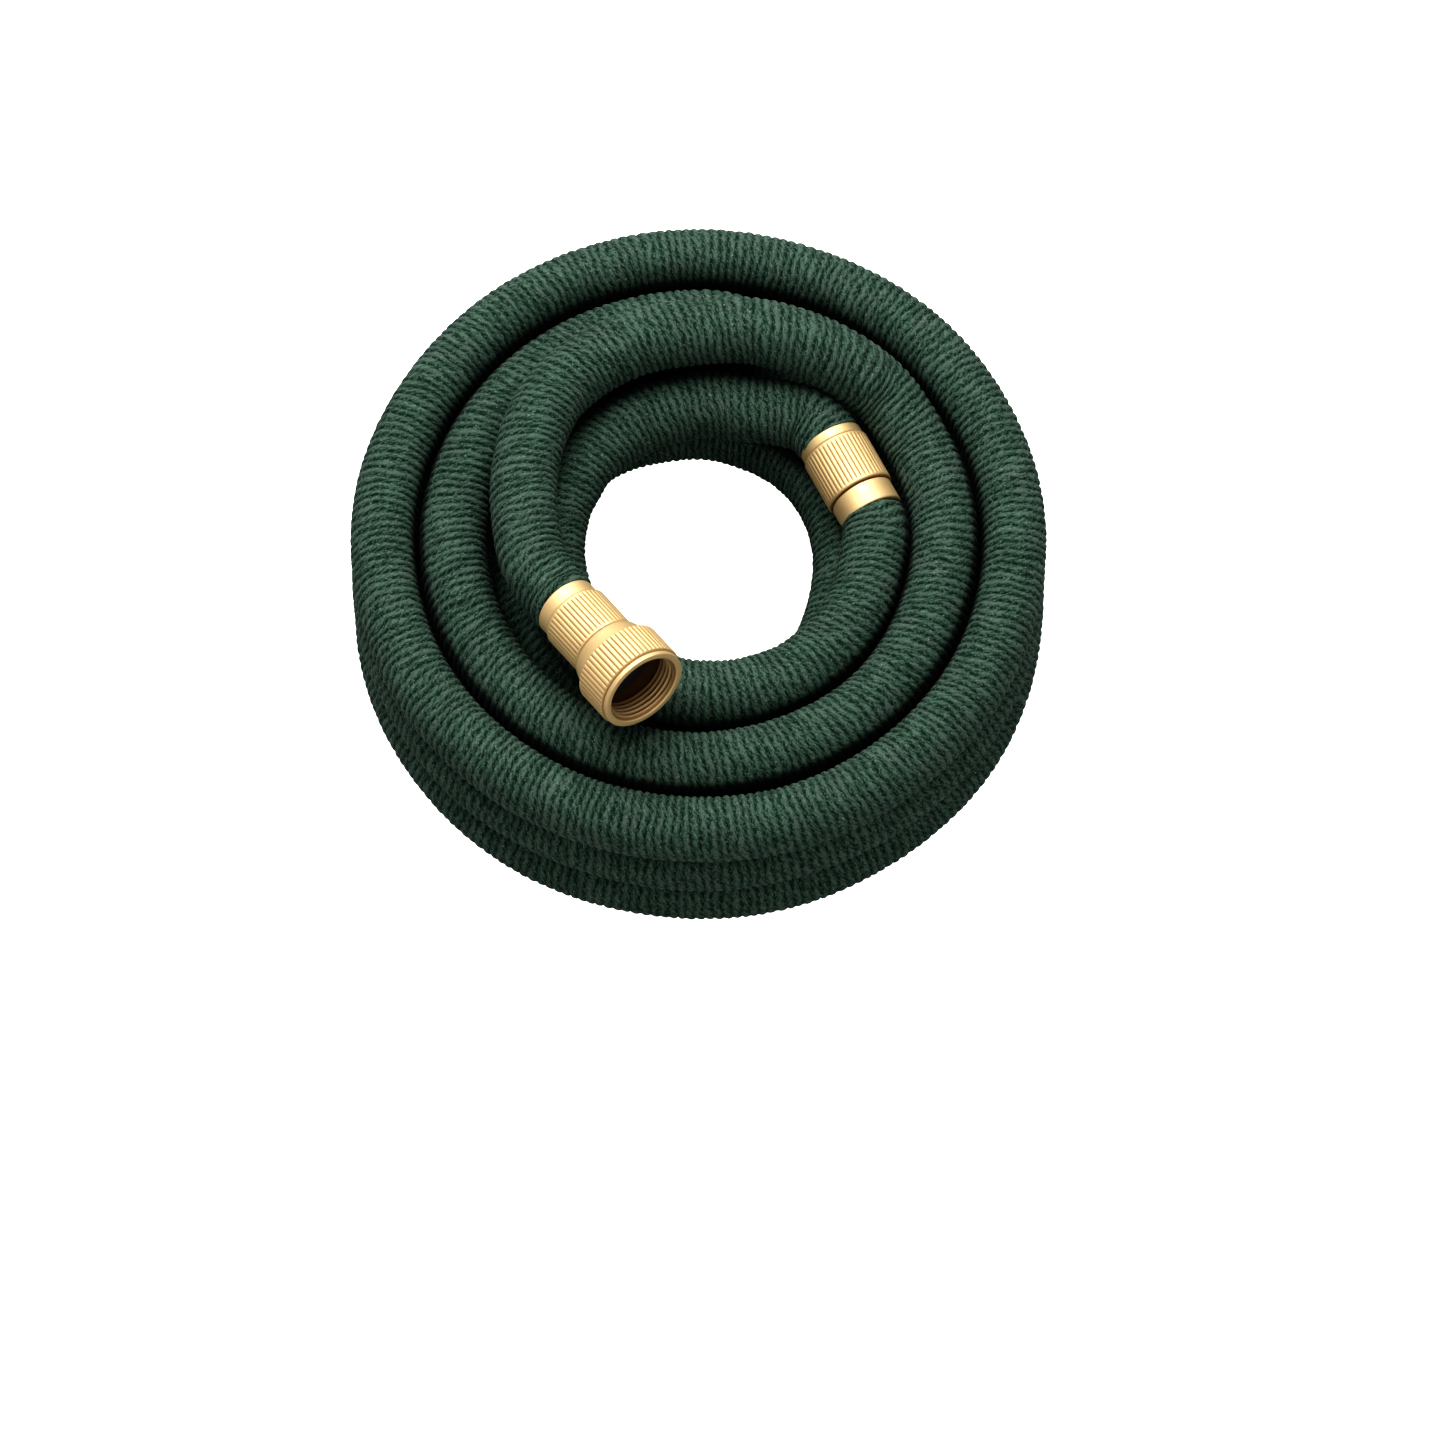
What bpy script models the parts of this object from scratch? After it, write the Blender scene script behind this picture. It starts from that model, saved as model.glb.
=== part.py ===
# Garden hose wound into a coil, with a brass tap fitting, a brass joiner and a brass end fitting.
# Metres, +Z up. The origin is the middle of the coil on the floor that it lies on.
# Azimuths are degrees about +Z from +X, anticlockwise seen from above.
import math

import bmesh
import bpy
import numpy as np
from mathutils import Matrix, Vector

# Driving dimensions of the hose and of its coil
HOSE_DIAMETER = 0.0242
GAP = 0.0003                  # clearance between pieces that touch
OUTER_TURN_RADIUS = 0.1121    # middle of the hose in the outermost turn
INNER_TURN_INSET = 0.0086     # room that the second layer's inner turn leaves beside its middle turn
FOOT_WIDTH = 0.007            # flat that the hose presses on the floor
TURN_SEGMENTS = 72            # facets round the coil
TUBE_POINT_SPACING = 0.017    # distance between the points of a tube's spline
TUBE_BEVEL_RESOLUTION = 4     # 12 sides

HOSE_RADIUS = HOSE_DIAMETER / 2
TURN_PITCH = HOSE_DIAMETER + GAP
LAYER_HEIGHTS = [HOSE_RADIUS + layer * TURN_PITCH for layer in range(3)]
TOP_LAYER = LAYER_HEIGHTS[2]
MIDDLE_TURN_RADIUS = OUTER_TURN_RADIUS - TURN_PITCH
LOW_INNER_TURN_RADIUS = MIDDLE_TURN_RADIUS - TURN_PITCH
INNER_TURN_RADIUS = MIDDLE_TURN_RADIUS - TURN_PITCH - INNER_TURN_INSET

# Top inner turn, which carries the joiner: its middle, its radius and where its two ends hide
INNER_RING_CENTRE = (0.0046, -0.0026)
INNER_RING_INSET = 0.0059     # room that the turn leaves beside the middle turn
INNER_RING_RADIUS = MIDDLE_TURN_RADIUS - TURN_PITCH - INNER_RING_INSET
INNER_RING_FAR_START = 192.0
INNER_RING_NEAR_END = -161.0
FAR_HEADING = -52.0           # azimuth in which the hose runs into the joiner
NEAR_HEADING = -80.0          # and in which it leaves it
STRAIGHT_END = 0.006          # straight hose where it meets a fitting

# Tap fitting: its place on the coil and its turned sizes
TAP_START_INSET = 0.0274      # from the middle turn's radius
TAP_START_AZIMUTH = 218.66
TAP_START_RISE = 0.0265       # above the top layer
TAP_AXIS = Vector((0.579, -0.786, 0.217)).normalized()
TAP_RING_LENGTH = 0.0060
TAP_RING_RADIUS = 0.0117
TAP_SLEEVE_LENGTH = 0.0191
TAP_SLEEVE_RADIUS = 0.0127
TAP_CHAMFER = 0.0006
TAIL_INSERT = 0.0120          # how far the tail reaches into the sleeve
TAIL_RADIUS = 0.0080
TAIL_BORE_RADIUS = 0.0055
TAIL_FLANGE_THICKNESS = 0.0022
NUT_LENGTH = 0.0228
NUT_COLLAR_LENGTH = 0.0066
NUT_COLLAR_RADIUS = 0.0156
NUT_BACK_RADIUS = 0.0134
NUT_BACK_THICKNESS = 0.0035
NUT_RADIUS = 0.0171
NUT_LIP_LENGTH = 0.0020
NUT_LIP_RADIUS = 0.0164
NUT_BORE_RADIUS = 0.0136
NUT_MOUTH_CHAMFER = 0.0007
WASHER_THICKNESS = 0.0025
WASHER_HOLE_RADIUS = 0.0070
RIM_SEGMENTS = 48             # facets round the brass pieces

# Joiner: its place in the top inner turn and its turned sizes
JOINER_AZIMUTH = 40.4         # of its far end, seen from the middle of the coil
JOINER_SIDE_ROOM = 0.0009     # between the joiner and the middle turn, over the clearance
JOINER_AXIS = Vector((0.456, -0.890, 0.0)).normalized()
JOINER_BEVEL_LENGTH = 0.0037
JOINER_BEVEL_RADIUS = 0.0118
JOINER_SLEEVE_LENGTH = 0.0238
JOINER_SLEEVE_RADIUS = 0.0125
JOINER_TURN_RADIUS = (MIDDLE_TURN_RADIUS - HOSE_RADIUS - JOINER_SLEEVE_RADIUS
                      - GAP - JOINER_SIDE_ROOM)
JOINER_FERRULE_LENGTH = 0.0088
JOINER_FERRULE_RADIUS = 0.0116
JOINER_BORE_RADIUS = 0.0070

# End fitting, low inside the coil: its place and its turned sizes
END_LIFT = 0.0006             # rise of the hose's middle, so that the wider thread clears the floor
END_START_INSET = 0.0228      # from the low inner turn's radius
END_START_AZIMUTH = -90.0
END_HEADING = 156.0           # azimuth in which the fitting points
END_TILT = 0.03               # rise of the fitting for each metre of its length
END_AXIS = Vector((math.cos(math.radians(END_HEADING)), math.sin(math.radians(END_HEADING)),
                   END_TILT)).normalized()
END_RING_LENGTH = 0.0040
END_SLEEVE_LENGTH = 0.0160
END_SLEEVE_RADIUS = 0.0125
END_COLLAR_LENGTH = 0.0050
END_COLLAR_RADIUS = 0.0130
END_THREAD_LENGTH = 0.0130
END_THREAD_RADIUS = 0.0131
END_BORE_RADIUS = 0.0085

BRASS = (0.78, 0.63, 0.37, 1.0)
JACKET = (0.055, 0.115, 0.080, 1.0)
RUBBER = (0.03, 0.03, 0.03, 1.0)


def clear_scene():
    for item in list(bpy.data.objects):
        bpy.data.objects.remove(item, do_unlink=True)


def principled(name, colour, roughness, metallic):
    material = bpy.data.materials.new(name)
    material.use_nodes = True
    shader = material.node_tree.nodes["Principled BSDF"]
    shader.inputs["Base Color"].default_value = colour
    shader.inputs["Roughness"].default_value = roughness
    shader.inputs["Metallic"].default_value = metallic
    return material


def shade_round(item):
    item.data.shade_smooth()
    item.data.set_sharp_from_angle(angle=math.radians(35))


def turned(name, outline, segments, material):
    # Turns a closed outline of (radius, height) points about Z; its material lies on the left
    # of the outline's direction, seen with the radius to the right and the height up
    mesh = bpy.data.meshes.new(name)
    shape = bmesh.new()
    rings = []
    for step in range(segments):
        angle = 2 * math.pi * step / segments
        direction = (math.cos(angle), math.sin(angle))
        rings.append([shape.verts.new((radius * direction[0], radius * direction[1], height))
                      for radius, height in outline])
    for step in range(segments):
        here = rings[step]
        there = rings[(step + 1) % segments]
        for index in range(len(outline)):
            after = (index + 1) % len(outline)
            shape.faces.new((here[index], there[index], there[after], here[after]))
    bmesh.ops.recalc_face_normals(shape, faces=shape.faces)
    shape.to_mesh(mesh)
    shape.free()
    item = bpy.data.objects.new(name, mesh)
    bpy.context.scene.collection.objects.link(item)
    item.data.materials.append(material)
    shade_round(item)
    return item


def place_on_axis(item, start, axis):
    # Puts a piece that was turned about Z from height 0 at start, pointing along axis
    item.matrix_world = Matrix.Translation(start) @ axis.to_track_quat("Z", "Y").to_matrix().to_4x4()


def arc(centre_radius, centre_height, first, last, steps=4):
    # Points of one turn's section, from one angle to another; 0 points outwards, 90 up
    points = []
    for step in range(steps + 1):
        angle = math.radians(first + (last - first) * step / steps)
        points.append((centre_radius + HOSE_RADIUS * math.cos(angle),
                       centre_height + HOSE_RADIUS * math.sin(angle)))
    return points


def foot(centre_radius, first, last):
    # Underside of a turn that lies on the floor: an arc down, the flat and an arc up
    half = FOOT_WIDTH / 2
    flat = [(centre_radius - half, 0.0), (centre_radius + half, 0.0)]
    return (arc(centre_radius, LAYER_HEIGHTS[0], first, first + 24, 1) + flat
            + arc(centre_radius, LAYER_HEIGHTS[0], last - 24, last, 1))


def coil_outline():
    # Section through the turns that stay put: three outer, two middle and one inner,
    # anticlockwise from the innermost turn's underside
    low, second, top = LAYER_HEIGHTS
    outline = []
    outline += arc(INNER_TURN_RADIUS, second, -180, -60, 4)
    outline += arc(MIDDLE_TURN_RADIUS, low, -240, -180, 2)[:-1]
    outline += foot(MIDDLE_TURN_RADIUS, -170, -30)
    outline += foot(OUTER_TURN_RADIUS, -150, -40)
    outline += arc(OUTER_TURN_RADIUS, low, -20, 60, 3)
    outline += arc(OUTER_TURN_RADIUS, second, -60, 60, 4)
    outline += arc(OUTER_TURN_RADIUS, top, -60, 240, 10)
    outline += arc(MIDDLE_TURN_RADIUS, second, 30, 150, 4)
    outline += arc(INNER_TURN_RADIUS, second, 30, 150, 4)
    return outline


def make_coil(material):
    return turned("hose_coil", coil_outline(), TURN_SEGMENTS, material)


def ring_point(radius, azimuth, height, centre=(0.0, 0.0)):
    angle = math.radians(azimuth)
    return (centre[0] + radius * math.cos(angle), centre[1] + radius * math.sin(angle), height)


def ring_points(radius, first, last, step, height, centre=(0.0, 0.0)):
    # Points of a turn at even steps of azimuth, from first to last
    count = max(1, round(abs(last - first) / step))
    return [ring_point(radius, first + (last - first) * index / count, height, centre)
            for index in range(count + 1)]


def smooth_path(route, spacing):
    # Centripetal Catmull-Rom curve through the route's points, read at an even spacing
    points = np.array([tuple(point) for point in route], dtype=float)
    before = 2 * points[0] - points[1]
    after = 2 * points[-1] - points[-2]
    points = np.vstack([before, points, after])
    fine = []
    for index in range(1, len(points) - 2):
        a, b, c, d = points[index - 1:index + 3]
        ta = 0.0
        tb = ta + math.sqrt(np.linalg.norm(b - a))
        tc = tb + math.sqrt(np.linalg.norm(c - b))
        td = tc + math.sqrt(np.linalg.norm(d - c))
        for step in range(24):
            t = tb + (tc - tb) * step / 24
            ab = a * (tb - t) / (tb - ta) + b * (t - ta) / (tb - ta)
            bc = b * (tc - t) / (tc - tb) + c * (t - tb) / (tc - tb)
            cd = c * (td - t) / (td - tc) + d * (t - tc) / (td - tc)
            abc = ab * (tc - t) / (tc - ta) + bc * (t - ta) / (tc - ta)
            bcd = bc * (td - t) / (td - tb) + cd * (t - tb) / (td - tb)
            fine.append(abc * (tc - t) / (tc - tb) + bcd * (t - tb) / (tc - tb))
    fine.append(points[-2])
    fine = np.array(fine)
    run = np.concatenate([[0.0], np.cumsum(np.linalg.norm(np.diff(fine, axis=0), axis=1))])
    count = max(2, round(run[-1] / spacing))
    even = np.linspace(0.0, run[-1], count + 1)
    return np.column_stack([np.interp(even, run, fine[:, axis]) for axis in range(3)])


def make_tube(name, route, material, first=None, last=None):
    # A round tube along the route; first and last are extra end points on a fitting's axis
    path = [tuple(point) for point in smooth_path(route, TUBE_POINT_SPACING)]
    if first is not None:
        path.insert(0, tuple(first))
    if last is not None:
        path.append(tuple(last))
    curve = bpy.data.curves.new(name, "CURVE")
    curve.dimensions = "3D"
    curve.bevel_depth = HOSE_RADIUS
    curve.bevel_resolution = TUBE_BEVEL_RESOLUTION
    curve.use_fill_caps = True
    spline = curve.splines.new("POLY")
    spline.points.add(len(path) - 1)
    for point, place in zip(spline.points, path):
        point.co = (*place, 1.0)
    item = bpy.data.objects.new(name, curve)
    bpy.context.scene.collection.objects.link(item)
    curve.materials.append(material)
    return item


def tap_start():
    return Vector(ring_point(MIDDLE_TURN_RADIUS - TAP_START_INSET, TAP_START_AZIMUTH,
                             TOP_LAYER + TAP_START_RISE))


def end_start():
    return Vector(ring_point(LOW_INNER_TURN_RADIUS - END_START_INSET, END_START_AZIMUTH,
                             HOSE_RADIUS + END_LIFT))


def heading(azimuth):
    return Vector(ring_point(1.0, azimuth, 0.0))


def joiner_far_end():
    return Vector(ring_point(JOINER_TURN_RADIUS, JOINER_AZIMUTH, TOP_LAYER))


def joiner_near_end():
    return joiner_far_end() + JOINER_AXIS * (JOINER_SLEEVE_LENGTH + GAP + JOINER_FERRULE_LENGTH)


def setback(direction):
    # How far a slanting hose end stays from the joiner's face, so that its rim clears it
    slant = direction.angle(JOINER_AXIS)
    return (GAP + HOSE_RADIUS * math.sin(slant)) / math.cos(slant)


# The hose rises from the top middle turn and crosses over it to the tap fitting: how far inside
# the middle turn's radius it is, its azimuth, and how far it has risen above the top layer
TAP_RUN_CROSSING = [
    (0.0007, 40.0, 0.0052),
    (0.0044, 50.0, 0.0127),
    (0.0088, 62.6, 0.0191),
    (0.0116, 76.3, 0.0217),
    (0.0143, 90.0, 0.0221),
    (0.0153, 107.4, 0.0216),
    (0.0161, 123.6, 0.0212),
    (0.0175, 138.1, 0.0217),
    (0.0210, 153.1, 0.0229),
    (0.0244, 170.6, 0.0241),
    (0.0260, 189.0, 0.0247),
    (0.0261, 199.5, 0.0249),
]


def tap_run_route():
    # Top middle turn, from its end under the crossing round to where it rises
    turn = ring_points(MIDDLE_TURN_RADIUS, 86, 386, 12, TOP_LAYER)
    crossing = [ring_point(MIDDLE_TURN_RADIUS - inset, azimuth, TOP_LAYER + rise)
                for inset, azimuth, rise in TAP_RUN_CROSSING]
    return turn + crossing + [tap_start() - TAP_AXIS * STRAIGHT_END]


def inner_far_route():
    # Top inner turn from under the tap run to the joiner's far end
    turn = ring_points(INNER_RING_RADIUS, INNER_RING_FAR_START, 76, 14, TOP_LAYER, INNER_RING_CENTRE)
    straight = joiner_far_end() - heading(FAR_HEADING) * STRAIGHT_END
    approach = [ring_point(JOINER_TURN_RADIUS - 0.0017, 58.8, TOP_LAYER),
                ring_point(JOINER_TURN_RADIUS + 0.0006, 51.6, TOP_LAYER)]
    return turn + approach + [straight]


def inner_near_route():
    # Top inner turn from the joiner's near end to under the tap fitting
    turn = ring_points(INNER_RING_RADIUS, -9, INNER_RING_NEAR_END, 14, TOP_LAYER, INNER_RING_CENTRE)
    straight = joiner_near_end() + heading(NEAR_HEADING) * STRAIGHT_END
    return [straight] + turn


# The low inner turn bends inwards to the end fitting: how far inside its radius, and where
END_RUN_TURN = [(0.0037, -32.6), (0.0072, -45.0), (0.0118, -59.5), (0.0171, -74.9)]


def end_run_route():
    # Low inner turn, then inwards to the end fitting, rising a little on the way
    turn = ring_points(LOW_INNER_TURN_RADIUS, 52, -20, 12, HOSE_RADIUS)
    rises = [0.0, 0.0, END_LIFT / 3, END_LIFT * 2 / 3]
    bend = [ring_point(LOW_INNER_TURN_RADIUS - inset, azimuth, HOSE_RADIUS + rise)
            for (inset, azimuth), rise in zip(END_RUN_TURN, rises)]
    return turn + bend + [end_start() - END_AXIS * STRAIGHT_END]


def make_hose_runs(material):
    far_heading = heading(FAR_HEADING)
    near_heading = heading(NEAR_HEADING)
    make_tube("hose_tap_run", tap_run_route(), material,
              last=tap_start() - TAP_AXIS * GAP)
    make_tube("hose_inner_far", inner_far_route(), material,
              last=joiner_far_end() - far_heading * setback(far_heading))
    make_tube("hose_inner_near", inner_near_route(), material,
              first=joiner_near_end() + near_heading * setback(near_heading))
    make_tube("hose_end_run", end_run_route(), material,
              last=end_start() - END_AXIS * GAP)


def sleeve_outline(ring_length, ring_radius, length, radius, bore, chamfer):
    # A plain ring, then a wider sleeve with both its edges broken
    return [(bore, 0.0), (ring_radius, 0.0), (ring_radius, ring_length),
            (radius - chamfer, ring_length), (radius, ring_length + chamfer),
            (radius, length - chamfer), (radius - chamfer, length), (bore, length)]


def make_tap_fitting(brass, rubber):
    sleeve_end = TAP_RING_LENGTH + TAP_SLEEVE_LENGTH
    nut_start = sleeve_end + GAP
    back_inside = NUT_BACK_THICKNESS
    flange_start = nut_start + back_inside + GAP
    flange_end = flange_start + TAIL_FLANGE_THICKNESS
    washer_start = flange_end + GAP
    flange_radius = NUT_BORE_RADIUS - 2 * GAP

    sleeve = turned("tap_sleeve",
                    sleeve_outline(TAP_RING_LENGTH, TAP_RING_RADIUS, sleeve_end, TAP_SLEEVE_RADIUS,
                                   TAIL_RADIUS + GAP, TAP_CHAMFER), RIM_SEGMENTS, brass)
    tail = turned("tap_tail",
                  [(TAIL_BORE_RADIUS, sleeve_end - TAIL_INSERT), (TAIL_RADIUS, sleeve_end - TAIL_INSERT),
                   (TAIL_RADIUS, flange_start), (flange_radius, flange_start),
                   (flange_radius, flange_end), (TAIL_BORE_RADIUS, flange_end)], RIM_SEGMENTS, brass)
    washer = turned("tap_washer",
                    [(WASHER_HOLE_RADIUS, washer_start), (flange_radius, washer_start),
                     (flange_radius, washer_start + WASHER_THICKNESS),
                     (WASHER_HOLE_RADIUS, washer_start + WASHER_THICKNESS)], RIM_SEGMENTS, rubber)
    knurl_end = NUT_LENGTH - NUT_LIP_LENGTH
    nut = turned("tap_nut",
                 [(TAIL_RADIUS + GAP, 0.0), (NUT_BACK_RADIUS, 0.0),
                  (NUT_COLLAR_RADIUS, NUT_COLLAR_LENGTH), (NUT_RADIUS, NUT_COLLAR_LENGTH + TAP_CHAMFER),
                  (NUT_RADIUS, knurl_end - TAP_CHAMFER), (NUT_LIP_RADIUS, knurl_end),
                  (NUT_LIP_RADIUS, NUT_LENGTH), (NUT_BORE_RADIUS + NUT_MOUTH_CHAMFER, NUT_LENGTH),
                  (NUT_BORE_RADIUS, NUT_LENGTH - NUT_MOUTH_CHAMFER), (NUT_BORE_RADIUS, back_inside),
                  (TAIL_RADIUS + GAP, back_inside)], RIM_SEGMENTS, brass)
    for piece in (sleeve, tail, washer):
        place_on_axis(piece, tap_start(), TAP_AXIS)
    place_on_axis(nut, tap_start() + TAP_AXIS * nut_start, TAP_AXIS)


def make_joiner(brass):
    sleeve = turned("joiner_sleeve",
                    sleeve_outline(JOINER_BEVEL_LENGTH, JOINER_BEVEL_RADIUS, JOINER_SLEEVE_LENGTH,
                                   JOINER_SLEEVE_RADIUS, JOINER_BORE_RADIUS, TAP_CHAMFER),
                    RIM_SEGMENTS, brass)
    ferrule = turned("joiner_ferrule",
                     [(JOINER_BORE_RADIUS, 0.0), (JOINER_FERRULE_RADIUS, 0.0),
                      (JOINER_FERRULE_RADIUS, JOINER_FERRULE_LENGTH),
                      (JOINER_BORE_RADIUS, JOINER_FERRULE_LENGTH)], RIM_SEGMENTS, brass)
    place_on_axis(sleeve, joiner_far_end(), JOINER_AXIS)
    place_on_axis(ferrule, joiner_far_end() + JOINER_AXIS * (JOINER_SLEEVE_LENGTH + GAP), JOINER_AXIS)


def make_end_fitting(brass):
    sleeve = turned("end_sleeve",
                    sleeve_outline(END_RING_LENGTH, TAP_RING_RADIUS, END_SLEEVE_LENGTH, END_SLEEVE_RADIUS,
                                   END_BORE_RADIUS, TAP_CHAMFER), RIM_SEGMENTS, brass)
    total = END_COLLAR_LENGTH + END_THREAD_LENGTH
    nipple = turned("end_nipple",
                    [(END_BORE_RADIUS, 0.0), (END_COLLAR_RADIUS, 0.0),
                     (END_COLLAR_RADIUS, END_COLLAR_LENGTH), (END_THREAD_RADIUS - 0.001, END_COLLAR_LENGTH),
                     (END_THREAD_RADIUS - 0.001, END_COLLAR_LENGTH + 0.001),
                     (END_THREAD_RADIUS, END_COLLAR_LENGTH + 0.002),
                     (END_THREAD_RADIUS, total - 0.001), (END_THREAD_RADIUS - 0.001, total),
                     (END_BORE_RADIUS, total)], RIM_SEGMENTS, brass)
    place_on_axis(sleeve, end_start(), END_AXIS)
    place_on_axis(nipple, end_start() + END_AXIS * (END_SLEEVE_LENGTH + GAP), END_AXIS)


def main():
    clear_scene()
    jacket = principled("hose_jacket", JACKET, 0.8, 0.0)
    brass = principled("satin_brass", BRASS, 0.32, 1.0)
    rubber = principled("washer_rubber", RUBBER, 0.7, 0.0)
    make_coil(jacket)
    make_hose_runs(jacket)
    make_tap_fitting(brass, rubber)
    make_joiner(brass)
    make_end_fitting(brass)


main()
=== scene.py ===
import math

import bpy
import numpy as np
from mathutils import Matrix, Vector


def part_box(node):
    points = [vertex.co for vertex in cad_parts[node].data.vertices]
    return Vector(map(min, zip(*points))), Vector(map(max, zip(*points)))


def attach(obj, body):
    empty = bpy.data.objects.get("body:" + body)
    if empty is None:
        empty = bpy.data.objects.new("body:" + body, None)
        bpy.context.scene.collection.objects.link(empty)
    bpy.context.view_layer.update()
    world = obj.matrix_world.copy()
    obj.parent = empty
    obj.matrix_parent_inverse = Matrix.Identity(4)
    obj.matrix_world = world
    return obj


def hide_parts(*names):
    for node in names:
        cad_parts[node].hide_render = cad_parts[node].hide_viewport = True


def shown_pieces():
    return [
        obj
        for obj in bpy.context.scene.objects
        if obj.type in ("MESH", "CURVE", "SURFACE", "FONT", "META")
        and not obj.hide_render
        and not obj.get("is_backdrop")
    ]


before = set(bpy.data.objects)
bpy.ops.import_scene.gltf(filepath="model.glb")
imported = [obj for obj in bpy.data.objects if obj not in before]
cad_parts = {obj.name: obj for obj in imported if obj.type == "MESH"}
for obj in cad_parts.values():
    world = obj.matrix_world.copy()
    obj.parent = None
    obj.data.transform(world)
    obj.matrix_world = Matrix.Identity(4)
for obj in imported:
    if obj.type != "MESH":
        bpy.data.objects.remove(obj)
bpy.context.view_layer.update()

# Camera, light and floor

view = {
    "elevation": 65.0,                       # of the photograph, looking along +Y
    "aim": (0.0085, -0.0423, 0.0),           # what lies in the middle of the picture
    "distance": 5.0,
    "pictureWidth": 0.5155,                  # at the depth of the coil's top layer
    "coilDepth": 0.037,                      # how much nearer than the aim that layer is
    "sensor": 36.0,
}

studio = {
    "floorSize": 8.0,
    "floorColour": (0.42, 0.42, 0.42, 1.0),
    "floorRoughness": 0.9,
    "floorGlow": 0.80,                       # to the camera alone, so that the paper is white
    "worldStrength": 0.38,
    "lights": {                              # place, size, power in watts
        "overhead": ((-0.35, 1.10, 2.2), 2.2, 82.0),
        "front": ((0.9, -1.9, 1.5), 1.6, 14.0),
    },
}


def makeCamera():
    elevation = math.radians(view["elevation"])
    back = Vector((0.0, -math.cos(elevation), math.sin(elevation)))
    lens = bpy.data.cameras.new("camera")
    lens.sensor_width = view["sensor"]
    lens.lens = view["sensor"] * (view["distance"] - view["coilDepth"]) / view["pictureWidth"]
    camera = bpy.data.objects.new("camera", lens)
    camera.location = Vector(view["aim"]) + back * view["distance"]
    camera.rotation_euler = (-back).to_track_quat("-Z", "Y").to_euler()
    bpy.context.scene.collection.objects.link(camera)
    bpy.context.scene.camera = camera


def makeStudio():
    half = studio["floorSize"] / 2
    floorMesh = bpy.data.meshes.new("floor")
    floorMesh.from_pydata([(-half, -half, 0), (half, -half, 0), (half, half, 0), (-half, half, 0)],
                          [], [(0, 1, 2, 3)])
    floor = bpy.data.objects.new("floor", floorMesh)
    bpy.context.scene.collection.objects.link(floor)
    paper = bpy.data.materials.new("paper")
    paper.use_nodes = True
    shader = paper.node_tree.nodes["Principled BSDF"]
    shader.inputs["Base Color"].default_value = studio["floorColour"]
    shader.inputs["Roughness"].default_value = studio["floorRoughness"]
    shader.inputs["Emission Color"].default_value = (1.0, 1.0, 1.0, 1.0)
    lightPath = paper.node_tree.nodes.new("ShaderNodeLightPath")
    glow = paper.node_tree.nodes.new("ShaderNodeMath")
    glow.operation = "MULTIPLY"
    glow.inputs[1].default_value = studio["floorGlow"]
    paper.node_tree.links.new(lightPath.outputs["Is Camera Ray"], glow.inputs[0])
    paper.node_tree.links.new(glow.outputs[0], shader.inputs["Emission Strength"])
    floorMesh.materials.append(paper)
    floor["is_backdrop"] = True
    for name, (place, size, power) in studio["lights"].items():
        lamp = bpy.data.lights.new(name, "AREA")
        lamp.shape = "SQUARE"
        lamp.size = size
        lamp.energy = power
        lampObject = bpy.data.objects.new(name, lamp)
        lampObject.location = place
        lampObject.rotation_euler = (-Vector(place)).to_track_quat("-Z", "Y").to_euler()
        bpy.context.scene.collection.objects.link(lampObject)
    world = bpy.data.worlds.new("studio")
    world.use_nodes = True
    world.node_tree.nodes["Background"].inputs["Color"].default_value = (1.0, 1.0, 1.0, 1.0)
    world.node_tree.nodes["Background"].inputs["Strength"].default_value = studio["worldStrength"]
    bpy.context.scene.world = world
    bpy.context.scene.view_settings.view_transform = "Standard"
    bpy.context.scene.view_settings.look = "Very High Contrast"


makeCamera()
makeStudio()
print("camera and studio ready")

# Material helpers


def addNode(tree, kind, inputs=None, **settings):
    # Adds a node; an input is given a number, a colour or the socket that feeds it
    made = tree.nodes.new(kind)
    for name, value in settings.items():
        setattr(made, name, value)
    for name, value in (inputs or {}).items():
        if isinstance(value, bpy.types.NodeSocket):
            tree.links.new(value, made.inputs[name])
        else:
            made.inputs[name].default_value = value
    return made


def math2(tree, operation, first, second=0.0, third=0.0):
    # One step of arithmetic on two or three numbers
    return addNode(tree, "ShaderNodeMath", {0: first, 1: second, 2: third},
                   operation=operation).outputs[0]


def vector2(tree, operation, first, second):
    return addNode(tree, "ShaderNodeVectorMath", {0: first, 1: second}, operation=operation).outputs[0]


def noise(tree, space, scale, detail=2.0, roughness=0.5):
    return addNode(tree, "ShaderNodeTexNoise", {"Vector": space, "Scale": scale, "Detail": detail,
                                                "Roughness": roughness}).outputs["Fac"]


def ramp(tree, factor, stops):
    # A colour for each share of the factor, straight between the stops
    made = addNode(tree, "ShaderNodeValToRGB", {"Fac": factor})
    elements = made.color_ramp.elements
    while len(elements) > 1:
        elements.remove(elements[-1])
    elements[0].position, elements[0].color = stops[0][0], (*stops[0][1], 1.0)
    for position, colour in stops[1:]:
        elements.new(position).color = (*colour, 1.0)
    return made.outputs["Color"]


def mixColour(tree, share, first, second):
    return addNode(tree, "ShaderNodeMix", {0: share, 6: first, 7: second}, data_type="RGBA").outputs[2]


def mapped(tree, value, low, high, share):
    # 0 where the value is low or less, rising to the share where it is high or more
    return addNode(tree, "ShaderNodeMapRange",
                   {"Value": value, "From Min": low, "From Max": high, "To Min": 0.0,
                    "To Max": share}).outputs[0]


def varied(tree, value, pattern, weight):
    # The value with weight * (pattern - 0.5) added
    return math2(tree, "MULTIPLY_ADD", math2(tree, "SUBTRACT", pattern, 0.5), weight, value)


def attribute(tree, name):
    return addNode(tree, "ShaderNodeAttribute", attribute_name=name, attribute_type="GEOMETRY")


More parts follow.
